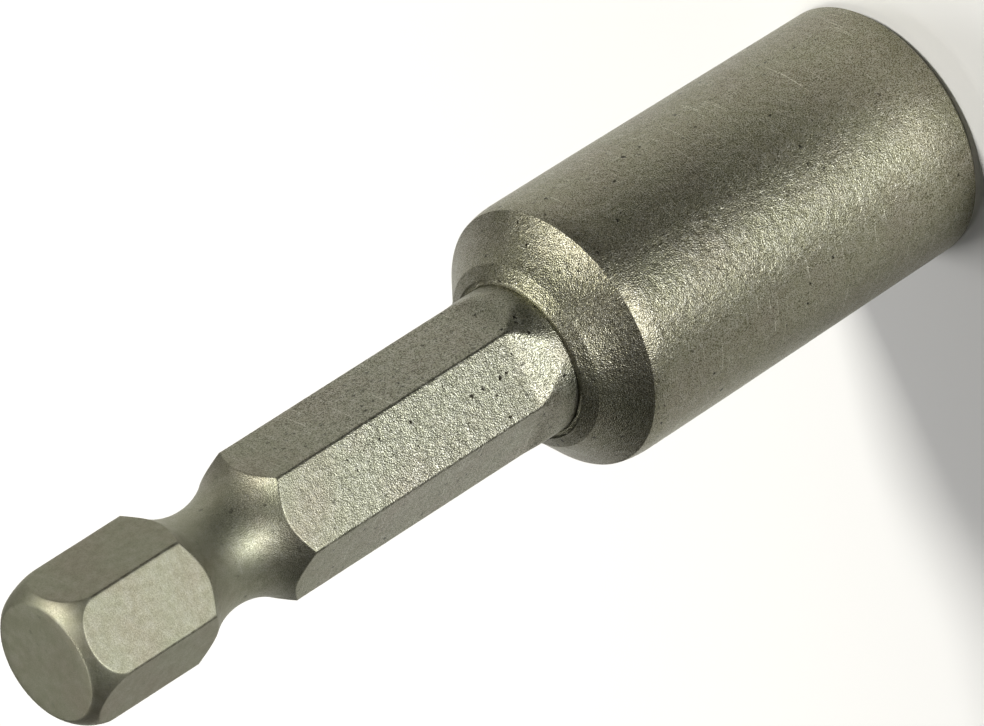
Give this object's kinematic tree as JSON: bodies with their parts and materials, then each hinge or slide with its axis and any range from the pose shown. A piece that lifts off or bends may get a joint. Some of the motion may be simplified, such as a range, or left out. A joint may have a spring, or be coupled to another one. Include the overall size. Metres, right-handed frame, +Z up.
{
  "type": "nut setter",
  "caption": "Nut setter for a power driver: hexagonal drive shank with a retaining groove, pressed into a round socket with a hexagonal nut recess and a sprung magnet.",
  "frame": {"origin": "middle of the mouth of the socket, in the plane of its rim, on the tool's axis", "axes": "+Z up along the tool's axis from the mouth to the drive end, so that the tool stands on its mouth, and +X square to two flats of the shank and of the nut recess"},
  "size_m": [0.0128, 0.0128, 0.052],
  "materials": {
    "shank_steel": "satin blasted nickel plate",
    "socket_steel": "satin blasted nickel plate",
    "ring_steel": "oiled black oxide",
    "cup_steel": "bright zinc plate",
    "magnet_nickel": "bright nickel plate",
    "spring_steel": "drawn spring wire"
  },
  "bodies": {
    "tool": {"drive_shank": "shank_steel", "socket_body": "socket_steel", "retaining_ring": "ring_steel", "magnet_spring": "spring_steel"},
    "magnet_unit": {"magnet_cup": "cup_steel", "magnet": "magnet_nickel"}
  },
  "joints": [
    {"name": "magnet_travel", "type": "slide", "parent": "tool", "child": "magnet_unit", "axis": [0, 0, 1], "range_m": [0, 0.002], "stiffness_N_per_m": 400, "springref_m": -0.002, "deforming": ["magnet_spring"]}
  ]
}
